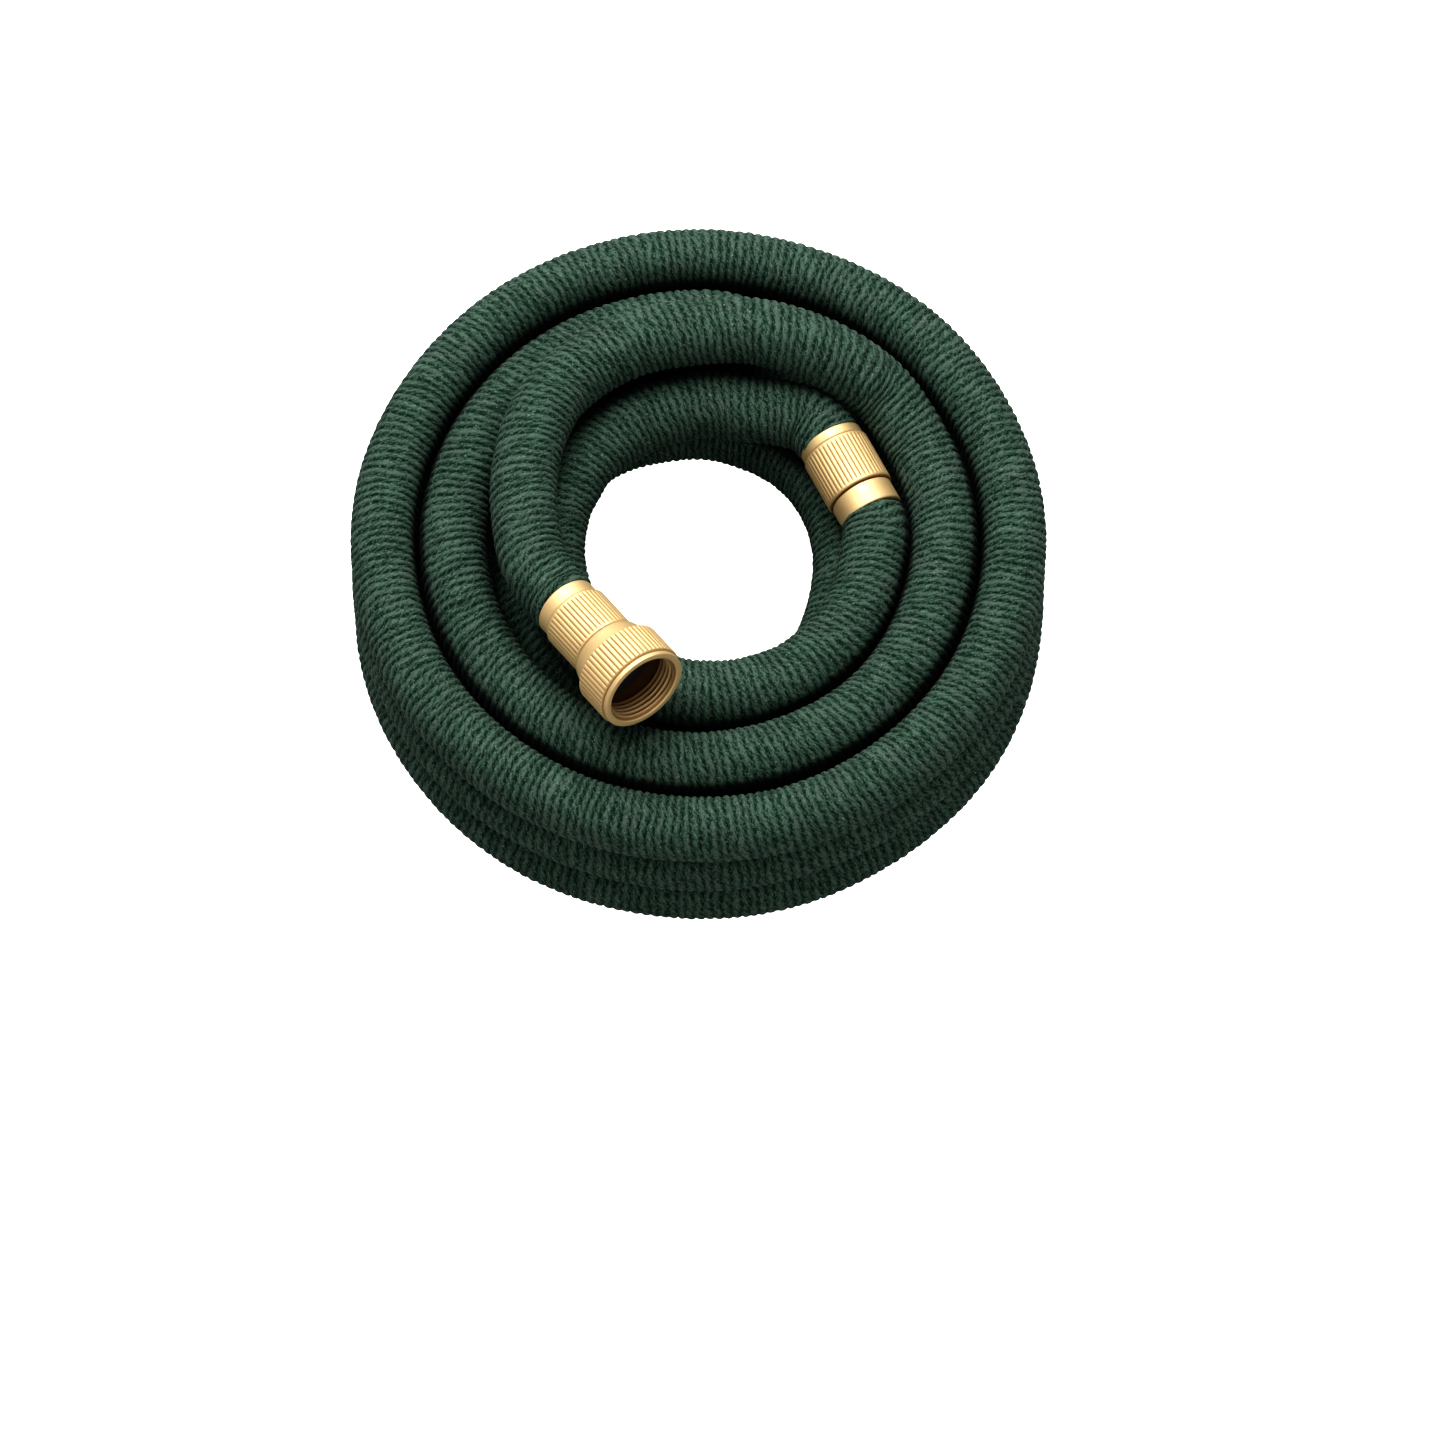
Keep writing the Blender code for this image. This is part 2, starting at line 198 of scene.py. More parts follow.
def newMaterial(name):
    made = bpy.data.materials.new(name)
    made.use_nodes = True
    return made, made.node_tree, made.node_tree.nodes["Principled BSDF"]


def bump(tree, height, strength, distance):
    return addNode(tree, "ShaderNodeBump", {"Height": height, "Strength": strength,
                                            "Distance": distance}).outputs["Normal"]


# Hose: its run

hose = {
    "radius": 0.0121,
    "clearance": 0.0003,
    "ribPitch": 0.0030,          # from one rib of the jacket to the next, along the hose's middle
    "ribStarts": 2,              # how far a rib has moved on after one turn round the hose
    "stitches": 22,              # in a rib, all the way round
    "ribSway": 0.25,             # how far, in ribs, a rib leans to one side and back round the hose
    "ribWander": (0.17, 0.12),   # how far it wanders besides, slowly and quickly
    "stitchWander": 0.35,        # how far, in stitches, a stitch wanders round the hose
    "ribShape": 0.55,            # power of the sine across a rib
    "stitchHeight": 0.20,        # how much lower than the highest a stitch may be, as a share
    "relief": 0.00100,           # from the bottom of a gap to the top of a rib
    "rise": 0.00010,             # how far the highest stitches stand over the hose's radius
    "sag": 0.00035,              # how far the middle of the hose wanders from its run
    "paintedCreviceShade": 0.0046,           # gap to the next turn below which the jacket's colour is darkened, painted shade
    "paintedCreviceShadeStep": 0.6,          # share of that gap over which it grows dark
    "apart": 0.010,              # a turn is another one if it is farther off than this
}

turnPitch = 2 * hose["radius"] + hose["clearance"]
layerHeights = [hose["radius"] + layer * turnPitch for layer in range(3)]
topLayer = layerHeights[2]
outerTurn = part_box("hose_coil")[1].x - hose["radius"]
middleTurn = outerTurn - turnPitch
lowInnerTurn = middleTurn - turnPitch

tapFit = {
    "inset": 0.0274, "azimuth": 218.66, "rise": 0.0265,      # its start, from the top middle turn
    "axis": Vector((0.579, -0.786, 0.217)).normalized(),
}
joinerFit = {
    "azimuth": 40.4, "room": 0.0012, "radius": 0.0125,
    "axis": Vector((0.456, -0.890, 0.0)).normalized(),
    "sleeve": 0.0238, "ferrule": 0.0088,
}
endHeading = math.radians(156.0)
endFit = {
    "inset": 0.0228, "azimuth": -90.0, "lift": 0.0006,
    "axis": Vector((math.cos(endHeading), math.sin(endHeading), 0.03)).normalized(),
}
joinerRadius = middleTurn - hose["radius"] - joinerFit["radius"] - joinerFit["room"]
innerTurn = {
    "centre": (0.0046, -0.0026), "radius": lowInnerTurn - 0.0059,
    "meeting": 195.5, "overlap": 0.1,        # where its two runs meet, under the crossing
    "last": 76.0, "first": -9.0,             # where it ends before the joiner and starts after it
    "headingIn": -52.0, "headingOut": -80.0,
    "sunkIn": 0.0012, "sunkOut": 0.0010,     # how far the hose goes into the joiner
}
# Where the inner turn leaves its ring for the joiner: how far outside the joiner's radius it
# is, and its azimuth
joinerBend = [(-0.0017, 58.8), (0.0006, 51.6)]
# Radius of the second layer's inner turn at each azimuth; it lies loose inside its middle turn
secondInnerTurn = [
    (0, 0.0525), (30, 0.0552), (60, 0.0570), (90, 0.0582), (120, 0.0602), (150, 0.0625), (180, 0.0630),
    (210, 0.0630), (240, 0.0630), (270, 0.0630), (300, 0.0590), (330, 0.0540), (360, 0.0525),
]

# The hose rises from the top middle turn and crosses over it to the tap fitting: how far inside
# that turn's radius it is, its azimuth, and how far it has risen above the top layer
tapCrossing = [
    (0.0007, 40.0, 0.0052), (0.0044, 50.0, 0.0127), (0.0088, 62.6, 0.0191), (0.0116, 76.3, 0.0217),
    (0.0143, 90.0, 0.0221), (0.0153, 107.4, 0.0216), (0.0161, 123.6, 0.0212), (0.0175, 138.1, 0.0217),
    (0.0210, 153.1, 0.0229), (0.0244, 170.6, 0.0241), (0.0260, 189.0, 0.0247), (0.0261, 199.5, 0.0249),
]
# Where the low inner turn bends inwards to the end fitting, in the same way
endBend = [(0.0037, -32.6, 0.0), (0.0072, -45.0, 0.0), (0.0118, -59.5, 0.0002), (0.0171, -74.9, 0.0004)]
# Where the tap run starts, out of sight: how far inside the middle turn's radius it is, its
# azimuth, and how far it is sunk under the top layer
tapHidden = [(0.0040, 74.0, 0.0028), (0.0012, 80.0, 0.0010)]
tapTurn = (86.0, 386.0)
endTurn = (52.0, -20.0)
straightEnd = 0.006              # how far the hose runs straight before a fitting
endRoom = 0.0002                 # between the end of the hose and that of a fitting


def ringPoint(radius, azimuth, height, centre=(0.0, 0.0)):
    angle = math.radians(azimuth)
    return np.array([centre[0] + radius * math.cos(angle), centre[1] + radius * math.sin(angle), height])


def ringRun(radius, first, last, height, centre=(0.0, 0.0), step=10.0):
    # Points of a turn at even steps of azimuth
    azimuths = np.linspace(first, last, max(2, round(abs(last - first) / step)) + 1)
    return [ringPoint(radius, azimuth, height, centre) for azimuth in azimuths]


def smoothRun(points, closed=False):
    # Centripetal Catmull-Rom curve: each stretch is blended from its four nearest points, with
    # their spacing counted as the square root of the distance
    points = np.array([tuple(point) for point in points], float)
    if closed:
        points = np.vstack([points[-2], points, points[1]])
    else:
        points = np.vstack([2 * points[0] - points[1], points, 2 * points[-1] - points[-2]])
    share = np.linspace(0.0, 1.0, 24, endpoint=False)[:, None]
    fine = []
    for a, b, c, d in zip(points[:-3], points[1:-2], points[2:-1], points[3:]):
        tb = math.sqrt(np.linalg.norm(b - a))
        tc = tb + math.sqrt(np.linalg.norm(c - b))
        td = tc + math.sqrt(np.linalg.norm(d - c))
        t = tb + (tc - tb) * share
        ab, bc = (a * (tb - t) + b * t) / tb, (b * (tc - t) + c * (t - tb)) / (tc - tb)
        cd = (c * (td - t) + d * (t - tc)) / (td - tc)
        abc, bcd = (ab * (tc - t) + bc * t) / tc, (bc * (td - t) + cd * (t - tb)) / (td - tb)
        fine.append((abc * (tc - t) + bcd * (t - tb)) / (tc - tb))
    return np.vstack(fine + [points[-2][None, :]])


def evenRun(points, count):
    # The same run read at an even spacing, with its length
    travelled = np.concatenate([[0.0], np.cumsum(np.linalg.norm(np.diff(points, axis=0), axis=1))])
    even = np.linspace(0.0, travelled[-1], count)
    return np.column_stack([np.interp(even, travelled, points[:, axis]) for axis in range(3)]), travelled[-1]


def turnRun(radius, height):
    return ringRun(radius, 0.0, 360.0, height)


def tapStart():
    return Vector(ringPoint(middleTurn - tapFit["inset"], tapFit["azimuth"], topLayer + tapFit["rise"]))


def joinerStart():
    return Vector(ringPoint(joinerRadius, joinerFit["azimuth"], topLayer))


def joinerEnd():
    length = joinerFit["sleeve"] + hose["clearance"] + joinerFit["ferrule"]
    return joinerStart() + joinerFit["axis"] * length


def endStart():
    return Vector(ringPoint(lowInnerTurn - endFit["inset"], endFit["azimuth"],
                            hose["radius"] + endFit["lift"]))


def tapRun():
    # It starts under its own crossing, sunk a little, goes once round and crosses over itself
    hidden = [ringPoint(middleTurn - inset, azimuth, topLayer - sunk)
              for inset, azimuth, sunk in tapHidden]
    turn = ringRun(middleTurn, *tapTurn, topLayer)
    crossing = [ringPoint(middleTurn - inset, azimuth, topLayer + rise)
                for inset, azimuth, rise in tapCrossing]
    axis = tapFit["axis"]
    return hidden + turn + crossing + [tapStart() - axis * straightEnd, tapStart() - axis * endRoom]


def joinerInRun():
    # Top inner turn from under the crossing to the joiner
    heading = Vector(ringPoint(1.0, innerTurn["headingIn"], 0.0))
    turn = ringRun(innerTurn["radius"], innerTurn["meeting"] - innerTurn["overlap"], innerTurn["last"],
                   topLayer, innerTurn["centre"])
    near = [ringPoint(joinerRadius + outset, azimuth, topLayer) for outset, azimuth in joinerBend]
    return turn + near + [joinerStart() - heading * straightEnd,
                          joinerStart() + heading * innerTurn["sunkIn"]]


def joinerOutRun():
    heading = Vector(ringPoint(1.0, innerTurn["headingOut"], 0.0))
    last = innerTurn["meeting"] - 360.0 + innerTurn["overlap"]
    turn = ringRun(innerTurn["radius"], innerTurn["first"], last, topLayer, innerTurn["centre"])
    return [joinerEnd() - heading * innerTurn["sunkOut"], joinerEnd() + heading * straightEnd] + turn


def endRun():
    turn = ringRun(lowInnerTurn, *endTurn, hose["radius"])
    bend = [ringPoint(lowInnerTurn - inset, azimuth, hose["radius"] + rise)
            for inset, azimuth, rise in endBend]
    axis = endFit["axis"]
    return turn + bend + [endStart() - axis * straightEnd, endStart() - axis * endRoom]


# Hose: its woven jacket


def wander(along, around, periods, turns, seed):
    # Sum of sine waves with whole numbers of periods along and round the hose, so that it meets
    # itself at the seams; about -1 to 1
    random = np.random.default_rng(seed)
    total = 0.0
    for wave in range(6):
        total = total + np.sin(2 * np.pi * (random.integers(1, periods) * along
                                            + random.integers(-turns, turns + 1) * around
                                            + random.random()))
    return total / 3.0


def weave(ribCount, rings, sides, seed):
    # Where every point lies in the weave: the ribs before it along the hose and the stitches
    # before it round the hose. The ribs lean a little, as on a thread with two starts, and both
    # counts wander. The grid has one row and one column more than the mesh, to close it
    travelled = np.arange(ribCount * rings + 1)[:, None] / rings
    around = np.arange(sides + 1)[None, :] / sides
    share = travelled / ribCount
    sway = hose["ribSway"] * np.sin(2 * np.pi * (around + 0.01 * seed))
    slow, quick = hose["ribWander"]
    ribs = (travelled + hose["ribStarts"] * around + sway
            + slow * wander(share, around, ribCount // 6, 3, seed + 1)
            + quick * wander(share, around, ribCount // 3, 8, seed + 2))
    stitches = (hose["stitches"] * around
                + hose["stitchWander"] * wander(share, around, ribCount // 4, 5, seed + 3))
    return ribs, stitches, travelled, around


def weaveHeight(ribs, stitches, seed):
    # 0 in the gaps and 1 on the highest stitches: a rib is sin(pi * across) ** ribShape, and each
    # stitch in it has its own height
    random = np.random.default_rng(seed)
    stature = random.random((256, 32))
    rib = np.floor(ribs).astype(int)
    stitch = np.floor(stitches + stature[rib % 256, 0]).astype(int)
    own = 1.0 - hose["stitchHeight"] * stature[rib % 256, stitch % 32]
    return np.sin(np.pi * (ribs - rib)) ** hose["ribShape"] * own


def hoseMesh(name, run, rings, sides, seed, closed=False, fuller=0.0, pressed=(0.0, 0.0),
             startTaper=None, endTaper=None):
    # The jacket carried along the run: point = middle + r * (side * cos + up * sin), where side
    # is level, up is square to it and r is the hose's radius less the depth of the weave, less
    # pressed * cos ** 3 on its inner and outer sides
    fine = smoothRun(run, closed)
    _, length = evenRun(fine, 2)
    ribCount = max(8, round(length / hose["ribPitch"]))
    ribs, stitches, travelled, around = weave(ribCount, rings, sides, seed)
    middles, _ = evenRun(fine, ribCount * rings + 1)
    last = -1 if closed else None
    travelled, around = travelled[:last], around[:, :-1]
    height = weaveHeight(ribs, stitches, seed)[:last, :-1]
    if closed:
        middles = middles[:-1]
        ahead, behind = np.roll(middles, -1, axis=0), np.roll(middles, 1, axis=0)
    else:
        ahead = np.vstack([middles[1:], 2 * middles[-1] - middles[-2]])
        behind = np.vstack([2 * middles[0] - middles[1], middles[:-1]])
    tangent = ahead - behind
    tangent /= np.linalg.norm(tangent, axis=1)[:, None]
    side = np.cross(tangent, [0.0, 0.0, 1.0])
    side /= np.linalg.norm(side, axis=1)[:, None]
    up = np.cross(side, tangent)
    share = travelled[:, 0] / ribCount
    calm = np.sin(np.pi * share) ** 0.5 if not closed else 1.0
    middles = middles + side * (hose["sag"] * calm * wander(share, 0.0, 11, 0, seed + 5))[:, None]
    angle = 2 * np.pi * around
    outwards = np.cos(angle)
    radius = hose["radius"] + hose["rise"] + fuller - hose["relief"] * (1.0 - height)
    distance = travelled * (length / ribCount)
    inner, outer = pressed
    radius = radius - inner * np.clip(-outwards, 0.0, 1.0) ** 3
    radius = radius - outer * np.clip(outwards, 0.0, 1.0) ** 3
    if startTaper:
        radius = radius * endShape(distance, startTaper)
    if endTaper:
        radius = radius * endShape(length - distance, endTaper)
    points = (middles[:, None, :] + side[:, None, :] * (radius * outwards)[..., None]
              + up[:, None, :] * (radius * np.sin(angle))[..., None])
    points[..., 2] = np.maximum(points[..., 2], 0.0)
    # Painted shade: the jacket's colour is darkened where turns touch
    made = gridObject(name, points, closed, {"paintedCreviceShade": paintCreviceShade(points, middles)}, {
        "weavePlace": np.stack([ribs, stitches, np.full_like(ribs, seed)], axis=-1)})
    made.data.materials.append(jacket)
    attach(made, "hose")
    path = np.vstack([middles, middles[:1]]) if closed else middles
    return made, path, length


def paintCreviceShade(points, middles):
    # Painted shade where turns touch: how far down between two turns a place lies, as a smooth step
    # of its gap to the nearest other turn, gap = sqrt((distance from the axis - turn radius) ** 2 + (z -
    # height) ** 2) - hose radius

    def distances(places, radius, height, centre=(0.0, 0.0)):
        fromAxis = np.hypot(places[..., 0] - centre[0], places[..., 1] - centre[1])
        return np.hypot(fromAxis - radius, places[..., 2] - height)

    turns = [(radius, height) for radius in (outerTurn, middleTurn) for height in layerHeights]
    turns += [(lowInnerTurn, layerHeights[0]), (innerTurn["radius"], topLayer, innerTurn["centre"])]
    gap = np.full(points.shape[:2], 1.0)
    for turn in turns:
        other = distances(middles, *turn) > hose["apart"]
        gap = np.where(other[:, None], np.minimum(gap, distances(points, *turn) - hose["radius"]), gap)
    share = np.clip((hose["paintedCreviceShade"] - gap) / (hose["paintedCreviceShadeStep"] * hose["paintedCreviceShade"]), 0.0, 1.0)
    return share * share * (3 - 2 * share)


def endShape(distance, taper):
    # Radius near an end: drawn in over the taper's length on a quarter of an ellipse
    share = np.clip(distance / taper["length"], 0.0, 1.0)
    return 1.0 - taper["depth"] * (1.0 - np.sqrt(1.0 - (1.0 - share) ** 2))


def gridObject(name, points, closedAlong, pointValues, cornerValues=None):
    # A surface from a grid of points, closed round its second direction, and either closed
    # along its first or finished with a flat cap at both ends. Corner values come on a grid
    # with one row and one column more where the surface closes, so that they can count on
    rows, columns = points.shape[:2]
    index = np.arange(rows * columns).reshape(rows, columns)
    countRow, countColumn = np.meshgrid(np.arange(rows), np.arange(columns), indexing="ij")
    steps = ((0, 0), (0, 1), (1, 1), (1, 0))
    corners = [(countRow + row, countColumn + column) for row, column in steps]
    if not closedAlong:
        corners = [(row[:-1], column[:-1]) for row, column in corners]
    quads = np.stack([index[row % rows, column % columns] for row, column in corners], axis=-1)
    quads = quads.reshape(-1, 4)
    places = np.stack([np.stack(corner, axis=-1) for corner in corners], axis=2).reshape(-1, 4, 2)
    vertices = points.reshape(-1, 3)
    normal = np.cross(vertices[quads[:, 2]] - vertices[quads[:, 0]],
                      vertices[quads[:, 3]] - vertices[quads[:, 1]])
    middles = np.repeat(points.mean(axis=1), columns, axis=0)[:len(quads)]
    outward = vertices[quads].mean(axis=1) - middles
    turned = (normal * outward).sum() < 0
    if turned:
        quads, places = quads[:, ::-1], places[:, ::-1]
    faces = quads.tolist()
    places = places.reshape(-1, 2)
    if not closedAlong:
        around = np.arange(columns)
        for row, backwards in ((0, not turned), (rows - 1, turned)):
            order = around[::-1] if backwards else around
            faces.append(index[row, order].tolist())
            places = np.vstack([places, np.column_stack([np.full(columns, row), order])])
    mesh = bpy.data.meshes.new(name)
    mesh.from_pydata(vertices.tolist(), [], faces)
    for domain, given in (("POINT", pointValues), ("CORNER", cornerValues or {})):
        for key, values in given.items():
            values = np.asarray(values, np.float32)
            if domain == "CORNER":
                values = values[places[:, 0], places[:, 1]]
            kind, field = ("FLOAT_VECTOR", "vector") if values.shape[-1] == 3 else ("FLOAT", "value")
            layer = mesh.attributes.new(key, kind, domain)
            layer.data.foreach_set(field, np.ascontiguousarray(values).ravel())
    mesh.shade_smooth()
    made = bpy.data.objects.new(name, mesh)
    bpy.context.scene.collection.objects.link(made)
    return made


jacketLook = {
    # From gap to top these colours paint shade into the low yarn and light onto the highest stitches
    "gap": (0.0120, 0.0265, 0.0180), "low": (0.0240, 0.0475, 0.0335),
    # The last colour on the line below, near black, is painted shade where turns touch
    "rib": (0.050, 0.087, 0.065), "top": (0.085, 0.126, 0.102), "paintedShadeColour": (0.002, 0.004, 0.003, 1.0),
    # The pale colour last on the line below paints glints where fibres catch the light
    "grey": (0.090, 0.092, 0.090, 1.0), "glintColour": (0.24, 0.29, 0.26, 1.0),
    "slant": 2.0, "crest": 0.36,             # how a stitch leans, and where across the rib it turns
    "stitchCut": 0.50, "bridge": 0.80,       # depth between stitches, height of yarns over a gap
    "stitchArch": 0.7, "ribArch": 0.75, "bridgeArch": 3.0,
    "bridges": 1.6, "bridgeFray": 1.2,       # how these yarns slant, and how ragged they are
    "fray": 0.32, "frayScale": 520.0,        # how ragged the ribs are
    "fibres": (5.0, 1.8),                    # waves to a stitch and to a rib
    "yarns": (3.6, 0.9),                     # waves to a rib and to a stitch
    # What each pattern adds to the height before the height sets the colour
    "tone": 0.30, "fibre": 0.80, "yarn": 0.85, "patch": 0.40, "grit": 0.95,
    "patchScale": 150.0, "gritScale": 1500.0,
    "stops": (0.16, 0.44, 0.74, 1.0),        # heights of the colours gap, low, rib and top
    "fadedScale": 95.0, "faded": (0.42, 0.75, 0.5),
    "glintShift": (0.37, 0.11, 0.23), "glintScale": 1250.0, "glintRange": (0.66, 0.74, 0.45),
    # How strongly painted shade darkens the jacket where turns touch
    "paintedCreviceShade": 0.88,
    "roughness": 0.80, "fibreGloss": 0.12, "fibreHeight": 0.35, "bump": (0.55, 0.0006),
    "sheen": 0.06, "sheenRoughness": 0.45, "sheenTint": (0.70, 0.80, 0.75, 1.0), "specular": 0.12,
}


def arch(tree, share, power):
    # sin(pi * share) to a power: 0 at both ends of a rib or stitch and 1 in its middle
    return math2(tree, "POWER", math2(tree, "SINE", math2(tree, "MULTIPLY", share, math.pi)), power)


def makeJacket():
    # Knitted polyester. Each rib is a row of slanted stitches, and between two ribs yarns cross
    # the gap and leave a row of dark pits. Colour follows the height, with painted shade in the gaps and
    # pits and painted light on the highest stitches, and every stitch has its own tone and thin fibres
    # that run along it. Pale flecks are painted glints, and where turns touch the colour is darkened as
    # painted shade
    look = jacketLook
    made, tree, shader = newMaterial("wovenJacket")
    weaveOf = attribute(tree, "weavePlace").outputs["Vector"]
    place = addNode(tree, "ShaderNodeSeparateXYZ", {0: weaveOf}).outputs
    space = addNode(tree, "ShaderNodeTexCoord").outputs["Object"]

    def strands(alongX, alongY):
        strandSpace = addNode(tree, "ShaderNodeCombineXYZ", {"X": alongX, "Y": alongY, "Z": place["Z"]})
        return noise(tree, strandSpace.outputs[0], 1.0, 2.0, 0.6)

    def ownValue(number):
        # A value of its own for each whole number
        return addNode(tree, "ShaderNodeTexWhiteNoise", {"W": number},
                       noise_dimensions="1D").outputs["Value"]

    fray = math2(tree, "SUBTRACT", noise(tree, space, look["frayScale"], 2.0, 0.6), 0.5)
    ribs = math2(tree, "MULTIPLY_ADD", fray, look["fray"], place["X"])
    rib, across = math2(tree, "FLOOR", ribs), math2(tree, "FRACT", ribs)
    fromCrest = math2(tree, "ABSOLUTE", math2(tree, "SUBTRACT", across, look["crest"]))
    slanted = math2(tree, "MULTIPLY_ADD", fromCrest, look["slant"], place["Y"])
    slanted = math2(tree, "ADD", fray, math2(tree, "ADD", slanted, ownValue(rib)))
    stitch, along = math2(tree, "FLOOR", slanted), math2(tree, "FRACT", slanted)
    cell = addNode(tree, "ShaderNodeCombineXYZ", {"X": rib, "Y": stitch, "Z": place["Z"]}).outputs[0]
    tone = addNode(tree, "ShaderNodeTexWhiteNoise", {"Vector": cell}).outputs["Value"]
    cut = math2(tree, "MULTIPLY_ADD", arch(tree, along, look["stitchArch"]), look["stitchCut"],
                1.0 - look["stitchCut"])
    ridge = math2(tree, "MULTIPLY", arch(tree, across, look["ribArch"]), cut)
    gap = math2(tree, "ADD", math2(tree, "FLOOR", math2(tree, "ADD", ribs, 0.5)), 0.5)
    crossing = math2(tree, "MULTIPLY_ADD", ribs, look["bridges"],
                     math2(tree, "ADD", place["Y"], ownValue(gap)))
    crossing = math2(tree, "FRACT", math2(tree, "MULTIPLY_ADD", fray, look["bridgeFray"], crossing))
    bridge = math2(tree, "MULTIPLY", arch(tree, crossing, look["bridgeArch"]), look["bridge"])
    height = math2(tree, "MAXIMUM", ridge, bridge)

    fibre = strands(math2(tree, "MULTIPLY", slanted, look["fibres"][0]),
                    math2(tree, "MULTIPLY", ribs, look["fibres"][1]))
    yarn = strands(math2(tree, "MULTIPLY", ribs, look["yarns"][0]),
                   math2(tree, "MULTIPLY", place["Y"], look["yarns"][1]))
    lit = varied(tree, height, tone, look["tone"])
    lit = varied(tree, lit, fibre, look["fibre"])
    lit = varied(tree, lit, yarn, look["yarn"])
    lit = varied(tree, lit, noise(tree, space, look["patchScale"], 3.0, 0.6), look["patch"])
    lit = varied(tree, lit, noise(tree, space, look["gritScale"], 1.0), look["grit"])
    # The height ramp paints shade into the gaps and light onto the highest stitches, over the yarn's own
    # tone, fibres and patches
    cloth = ramp(tree, lit, list(zip(look["stops"], (look["gap"], look["low"], look["rib"], look["top"]))))
    faded = math2(tree, "MULTIPLY", noise(tree, space, look["fadedScale"]), lit)
    cloth = mixColour(tree, mapped(tree, faded, *look["faded"]), cloth, look["grey"])
    # Painted glints: pale flecks where fibres catch the light
    paintedGlints = noise(tree, vector2(tree, "ADD", space, look["glintShift"]), look["glintScale"], 1.0)
    cloth = mixColour(tree, mapped(tree, paintedGlints, *look["glintRange"]), cloth, look["glintColour"])
    # Painted shade: the colour is darkened where turns touch
    paintedCreviceShade = math2(tree, "MULTIPLY", attribute(tree, "paintedCreviceShade").outputs["Fac"], look["paintedCreviceShade"])
    cloth = mixColour(tree, paintedCreviceShade, cloth, look["paintedShadeColour"])
    tree.links.new(cloth, shader.inputs["Base Color"])
    rough = math2(tree, "MULTIPLY_ADD", fibre, -look["fibreGloss"],
                  look["roughness"] + look["fibreGloss"] / 2)
    tree.links.new(rough, shader.inputs["Roughness"])
    raised = math2(tree, "MULTIPLY_ADD", fibre, look["fibreHeight"], height)
    tree.links.new(bump(tree, raised, *look["bump"]), shader.inputs["Normal"])
    shader.inputs["Sheen Weight"].default_value = look["sheen"]
    shader.inputs["Sheen Roughness"].default_value = look["sheenRoughness"]
    shader.inputs["Sheen Tint"].default_value = look["sheenTint"]
    shader.inputs["Specular IOR Level"].default_value = look["specular"]
    return made


jacket = makeJacket()

# Turns that close on themselves: their run, rings to a rib, sides, seed, how much fuller a turn
# inside the coil is, so that no light comes through beside it, and how far the inner and the
# outer side are pressed in by the next turn, or bulge where that is negative
plainTurns = {
    "topOuterTurn": (turnRun(outerTurn, layerHeights[2]), 6, 58, 11, 0.0, (0.0011, 0.0)),
    "secondOuterTurn": (turnRun(outerTurn, layerHeights[1]), 4, 40, 23, 0.0, (0.0, 0.0)),
    "lowOuterTurn": (turnRun(outerTurn, layerHeights[0]), 4, 40, 37, 0.0, (0.0, 0.0)),
    "secondMiddleTurn": (turnRun(middleTurn, layerHeights[1]), 3, 20, 41, 0.0007, (-0.0034, -0.0016)),
    "lowMiddleTurn": (turnRun(middleTurn, layerHeights[0]), 3, 24, 53, 0.0, (0.0, 0.0)),
    "secondInnerTurn": ([ringPoint(radius, azimuth, layerHeights[1]) for azimuth, radius in secondInnerTurn],
                        5, 48, 67, 0.0, (0.0, 0.0)),
}


def makeHose():
    for name, (run, rings, sides, seed, fuller, pressed) in plainTurns.items():
        made, path, length = hoseMesh(name, run, rings, sides, seed, closed=True, fuller=fuller,
                                      pressed=pressed)
        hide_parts("hose_coil")
    print("coil turns ready")
    squeezed = {"length": 0.0050, "depth": 0.100}        # where the hose goes into a fitting
    hidden = {"length": 0.0080, "depth": 0.80}           # where it passes out of sight
    runs = {
        "tapRun": (tapRun(), 6, 58, 71, hidden, squeezed, "hose_tap_run"),
        "joinerInRun": (joinerInRun(), 6, 56, 83, None, squeezed, "hose_inner_far"),
        "joinerOutRun": (joinerOutRun(), 6, 56, 97, squeezed, None, "hose_inner_near"),
        "endRun": (endRun(), 5, 44, 103, hidden, squeezed, "hose_end_run"),
    }
    parts = {}
    for name, (run, rings, sides, seed, first, last, node) in runs.items():
        parts[name] = hoseMesh(name, run, rings, sides, seed, startTaper=first, endTaper=last)
        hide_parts(node)
    print("hose runs ready")
    return parts


hoseParts = makeHose()

# Brass

brassLook = {
    "bright": (0.660, 0.520, 0.315, 1.0), "dull": (0.585, 0.425, 0.225, 1.0),
    # A darker colour for joints, grooves and the nut's inside: dirt in the joints, painted shade inside the
    # nut
    "dirtAndShade": (0.28, 0.170, 0.080, 1.0), "inside": (0.30, 0.16, 0.06, 1.0),
    "turning": (60.0, 60.0, 5200.0),         # waves to a metre across and along the axis
    "markScale": 240.0, "patchScale": 75.0,
    "marks": 0.7, "patches": 0.5, "dullFrom": 0.35,
    "roughness": 0.56, "tailRoughness": 0.35, "markRoughness": 0.16, "dirtRoughness": 0.20,
    "metallic": 0.88, "lines": (0.35, 0.00002),
}


